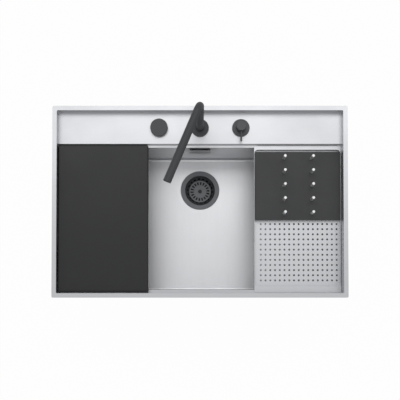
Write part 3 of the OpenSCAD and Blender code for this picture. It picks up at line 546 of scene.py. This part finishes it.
def moulded(name, tone, roughness, density, depth, contrast=0.12, wear_tone=None):
    """A moulded, sprayed or pressed surface with a fine grain and handling marks."""
    tree, shader = new_finish(name, metallic=0.0, roughness=roughness)
    grain = effect(tree, moulded_grain, placed(tree), Density=density, Depth=depth)
    hands = effect(tree, handling_marks, placed(tree), Scale=MOULDED_HANDS_SCALE)["Marks"]
    colour = between(tree, grain["Grain"], shaded(tone, 1 - contrast), shaded(tone, 1 + contrast))
    if wear_tone:
        wear = effect(tree, edge_wear, placed(tree), Patches=MOULDED_PATCHES)["Edge"]
        colour = between(tree, combine(tree, "MULTIPLY", wear, MOULDED_WEAR), colour, wear_tone)
    tree.links.new(colour, shader.inputs["Base Color"])
    tree.links.new(
        combine(tree, "ADD", combine(tree, "MULTIPLY", hands, MOULDED_HANDS_ROUGHEN),
                roughness - MOULDED_SMOOTHER),
        shader.inputs["Roughness"])
    tree.links.new(grain["Normal"], shader.inputs["Normal"])
    return shader


board_shader = moulded("board_black", (0.0115, 0.012, 0.013), 0.36, density=1500, depth=0.15,
                       wear_tone=WORN_BLACK)
board_shader.inputs["IOR"].default_value = BOARD_IOR
moulded("plate_black", (0.026, 0.027, 0.028), 0.55, density=1500, depth=0.2,
        wear_tone=WORN_BLACK)
moulded("rubber", (0.012, 0.012, 0.012), 0.7, density=1100, depth=0.3)
moulded("foam_rubber", (0.02, 0.02, 0.02), 0.9, density=700, depth=1.0, contrast=0.4)
moulded("damping_rubber", (0.035, 0.04, 0.042), 0.8, density=260, depth=0.8, contrast=0.25)
moulded("grey_plastic", (0.22, 0.225, 0.23), 0.5, density=800, depth=0.3)
moulded("black_plastic", (0.018, 0.018, 0.018), 0.5, density=800, depth=0.3)
moulded("white_plastic", (0.72, 0.72, 0.70), 0.4, density=800, depth=0.2, contrast=0.04)
print("finishes:", len(FINISH))

# %% [markdown]
# ## Pieces whose CAD shape is already right
#
# A folded or machined edge is never knife-sharp, and the thin bright line along it tells the eye
# how the piece was made. A copy of the CAD mesh is merged, its flat faces joined, and a
# narrow Bevel modifier rounds only its sharp edges. Round surfaces are shaded smooth.

# %% Piece helpers
SMOOTH_BELOW = math.radians(38)
FLAT_BELOW = math.radians(0.5)
MERGE_WITHIN = 0.01 * MM
FLAT_FACE_WEIGHT = 80


def keep_piece(name, bm, finish, node):
    """Makes a bmesh a finished piece that rides with a CAD node and stands in its place."""
    mesh = bpy.data.meshes.new(name)
    bm.to_mesh(mesh)
    bm.free()
    mesh.materials.append(FINISH[finish])
    mesh.polygons.foreach_set("use_smooth", [True] * len(mesh.polygons))
    mesh.set_sharp_from_angle(angle=SMOOTH_BELOW)
    piece = bpy.data.objects.new(name, mesh)
    bpy.context.collection.objects.link(piece)
    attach(piece, BODY[node])
    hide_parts(node)
    return piece


def rounded_edges(piece, width, segments=2):
    """A narrow rounding on the sharp edges, with the flat faces still shaded flat."""
    bevel = piece.modifiers.new("rounded_edges", "BEVEL")
    bevel.width = width
    bevel.segments = segments
    bevel.limit_method = "ANGLE"
    bevel.angle_limit = SMOOTH_BELOW
    flat_faces = piece.modifiers.new("flat_faces", "WEIGHTED_NORMAL")
    flat_faces.weight = FLAT_FACE_WEIGHT
    flat_faces.keep_sharp = True


def softened(node, finish, width):
    """A merged copy of a CAD node, with rounded edges unless the width is 0."""
    bm = bmesh.new()
    bm.from_mesh(frame["nodes"][node].data)
    bmesh.ops.remove_doubles(bm, verts=bm.verts, dist=MERGE_WITHIN)
    bmesh.ops.dissolve_limit(bm, angle_limit=FLAT_BELOW, verts=bm.verts, edges=bm.edges)
    piece = keep_piece(node + "_soft", bm, finish, node)
    if width:
        rounded_edges(piece, width * MM)


# %% Softened pieces, by finish, with the width of each rounding in millimetres
SOFT = {
    "sheet_steel": {"worktop_frame": 0.5, "overflow_cover": 0.4},
    "bowl_steel": {"bowl": 0.3},
    "tray_steel": {"tray_frame": 0.3},
    "bright_steel": {"rack_pegs": 0.4},
    "board_black": {"cutting_board": 0.8},
    "plate_black": {"plate_rack": 0.4},
    "smoke_knob": {"waste_knob": 0.5, "knob_shank": 0.3},
    "smoke_mixer": {"mixer_base": 0.4, "mixer_handle": 0.4, "mixer_lever": 0.3},
    # Painted shade: the brass cartridge nut takes the dark smoke-grey coating, because the gap between the mixer's
    # base and handle lies in shade.
    "smoke_grey": {"spout_base": 0.4, "aerator_housing": 0.3, "cartridge_nut": 0.3},
    "smoke_waste": {"waste_flange": 0.3},
    "zinc_steel": {
        "tap_stiffener": 0.4, "clip_brackets": 0.6, "fixing_clips": 0.4, "clip_screws": 0.5,
        "earth_tag": 0.3, "overflow_screws": 0.4, "deck_washers": 0.4, "waste_screw": 0.3,
        "lift_pin": 0.3, "cartridge_stem": 0.3, "knob_spindle": 0.3, "peg_screws": 0.3,
    },
    "brass": {"deck_nuts": 0.8, "spout_tail": 0.6},
    "grey_plastic": {"overflow_housing": 1.2, "overflow_pipe": 0.5, "drum_housing": 0.8},
    "black_plastic": {"waste_body": 0.8, "waste_gland": 0.6, "basket_knob": 0.3},
    "white_plastic": {"aerator_insert": 0, "cable_drum": 0.3},
    "damping_rubber": {"sound_pads": 0.8},
    "rubber": {"rack_feet": 0.6, "board_strips": 0.3, "tray_pads": 0.2},
}
for finish, nodes in SOFT.items():
    for node, width in nodes.items():
        softened(node, finish, width)
print("softened pieces:", sum(len(nodes) for nodes in SOFT.values()))

# %% [markdown]
# ## The spout
#
# The spout is one drawn pipe: a riser, one tight bend and a level arm with a square end. A
# curve with a round bevel would do it, but a circle that is extruded, spun through the bend and
# extruded again gives even rings just where the pipe bends, and a flat end cap to round off.

# %% Spout pipe
PIPE_R = 10 * MM
PIPE_SIDES = 48
BEND_R = 20 * MM
BEND_STEPS = 16
ARM_REACH = 204 * MM
ARM_TURN = math.radians(-23.0)
TIP_ROUNDING = 0.6 * MM
swivel = [joint for joint in frame["joints"] if joint["name"] == "spout_swivel"][0]
foot = Vector(swivel["pos_m"])
foot.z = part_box("spout_pipe")[0][2]
arm_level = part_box("spout_pipe")[1][2] - PIPE_R
riser = arm_level - BEND_R - foot.z


def edges_in(geometry):
    """The edges among the parts of a bmesh."""
    return [part for part in geometry if isinstance(part, bmesh.types.BMEdge)]


def without_faces(geometry):
    """The edges and vertices of an extruded or spun end."""
    return [part for part in geometry if not isinstance(part, bmesh.types.BMFace)]


def pull(bm, geometry, offset):
    """Extrudes an open end by an offset, and returns the new end."""
    end = without_faces(bmesh.ops.extrude_edge_only(bm, edges=edges_in(geometry))["geom"])
    verts = [part for part in end if isinstance(part, bmesh.types.BMVert)]
    bmesh.ops.translate(bm, verts=verts, vec=offset)
    return end


bm = bmesh.new()
ring = bmesh.ops.create_circle(bm, cap_ends=False, radius=PIPE_R, segments=PIPE_SIDES)["verts"]
end = pull(bm, list(bm.edges) + ring, (0, 0, riser))
bend = bmesh.ops.spin(bm, geom=end, cent=(0, -BEND_R, riser), axis=(1, 0, 0),
                      angle=math.pi / 2, steps=BEND_STEPS)
end = pull(bm, without_faces(bend["geom_last"]), (0, -(ARM_REACH - BEND_R), 0))
bmesh.ops.edgenet_fill(bm, edges=edges_in(end))
bmesh.ops.rotate(bm, verts=bm.verts, cent=(0, 0, 0), matrix=Matrix.Rotation(ARM_TURN, 3, "Z"))
bmesh.ops.translate(bm, verts=bm.verts, vec=foot)
bmesh.ops.remove_doubles(bm, verts=bm.verts, dist=MERGE_WITHIN)
bmesh.ops.recalc_face_normals(bm, faces=bm.faces)
spout = keep_piece("spout_pipe_drawn", bm, "smoke_grey", "spout_pipe")
rounded_edges(spout, TIP_ROUNDING, segments=3)

# %% [markdown]
# ## The strainer basket
#
# The basket is a pressed cup with a ring of slots in its floor and small windows in its
# sloping wall. Cutting them with booleans would be slow and leave poor edges. An outline spun
# in equal steps already has faces in the right places, so the slots are faces left out,
# and bmesh's solidify gives the cup its thickness.

# %% Basket, with its outline as radius and height above the knob's foot in millimetres
SLOTS = 18
FACES_PER_SLOT = 4
STEPS = SLOTS * FACES_PER_SLOT
CUP_WALL = 1.0 * MM
CUP = [
    (4, 0), (19.5, 0), (28.5, 0), (32.6, 0.2),
    (34.6, 4.6), (38.6, 13.4), (40.6, 17.8), (41.0, 18.6),
]
SLOT_INNER, SLOT_OUTER = 20 * MM, 28 * MM
WINDOW_INNER, WINDOW_OUTER = 35 * MM, 38.4 * MM
drain = middle_of("basket_knob")
cup_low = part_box("basket_knob")[0][2]
bm = bmesh.new()
outline = [bm.verts.new((drain.x + r * MM, drain.y, cup_low + z * MM)) for r, z in CUP]
edges = [bm.edges.new(pair) for pair in zip(outline, outline[1:])]
bmesh.ops.spin(bm, geom=outline + edges, cent=(drain.x, drain.y, 0), axis=(0, 0, 1),
               angle=math.tau, steps=STEPS, use_merge=True)
bmesh.ops.remove_doubles(bm, verts=bm.verts, dist=MERGE_WITHIN)


def is_opening(face):
    """True for the faces that are left out as slots or windows."""
    place = face.calc_center_median() - Vector((drain.x, drain.y, 0))
    radius = math.hypot(place.x, place.y)
    step = int(math.degrees(math.atan2(place.y, place.x)) % 360 / (360 / STEPS))
    in_slot = SLOT_INNER < radius < SLOT_OUTER and step % FACES_PER_SLOT in (0, 1)
    in_window = WINDOW_INNER < radius < WINDOW_OUTER and step % FACES_PER_SLOT in (2, 3)
    return in_slot or in_window


bmesh.ops.delete(bm, geom=[face for face in bm.faces if is_opening(face)], context="FACES")
bmesh.ops.recalc_face_normals(bm, faces=bm.faces)
bmesh.ops.solidify(bm, geom=bm.faces, thickness=CUP_WALL)
basket = keep_piece("strainer_basket_pressed", bm, "smoke_basket", "strainer_basket")
print("basket faces:", len(basket.data.polygons))

# %% [markdown]
# ## What stays as it is
#
# The perforated base keeps its CAD mesh, because its 425 holes are exact. So do the seals and the small pieces
# inside the fittings. They take the finish that their slot names, apart from the base, which is the tray's steel,
# and the spout's bush, which is given black plastic as painted shade where the riser goes into its base.

# %% Finishes on the CAD nodes that stay
# Painted shade: the swivel bush is made black where the spout's riser enters its base.
OWN_FINISH = {"perforated_base": "tray_steel", "swivel_bush": "black_plastic"}
replaced = {node for nodes in SOFT.values() for node in nodes} | {"spout_pipe", "strainer_basket"}
kept = sorted(set(SLOT) - replaced)
for node in kept:
    for mesh_slot in frame["nodes"][node].material_slots:
        mesh_slot.material = FINISH[OWN_FINISH.get(node, SLOT[node])]
print("nodes kept:", kept)
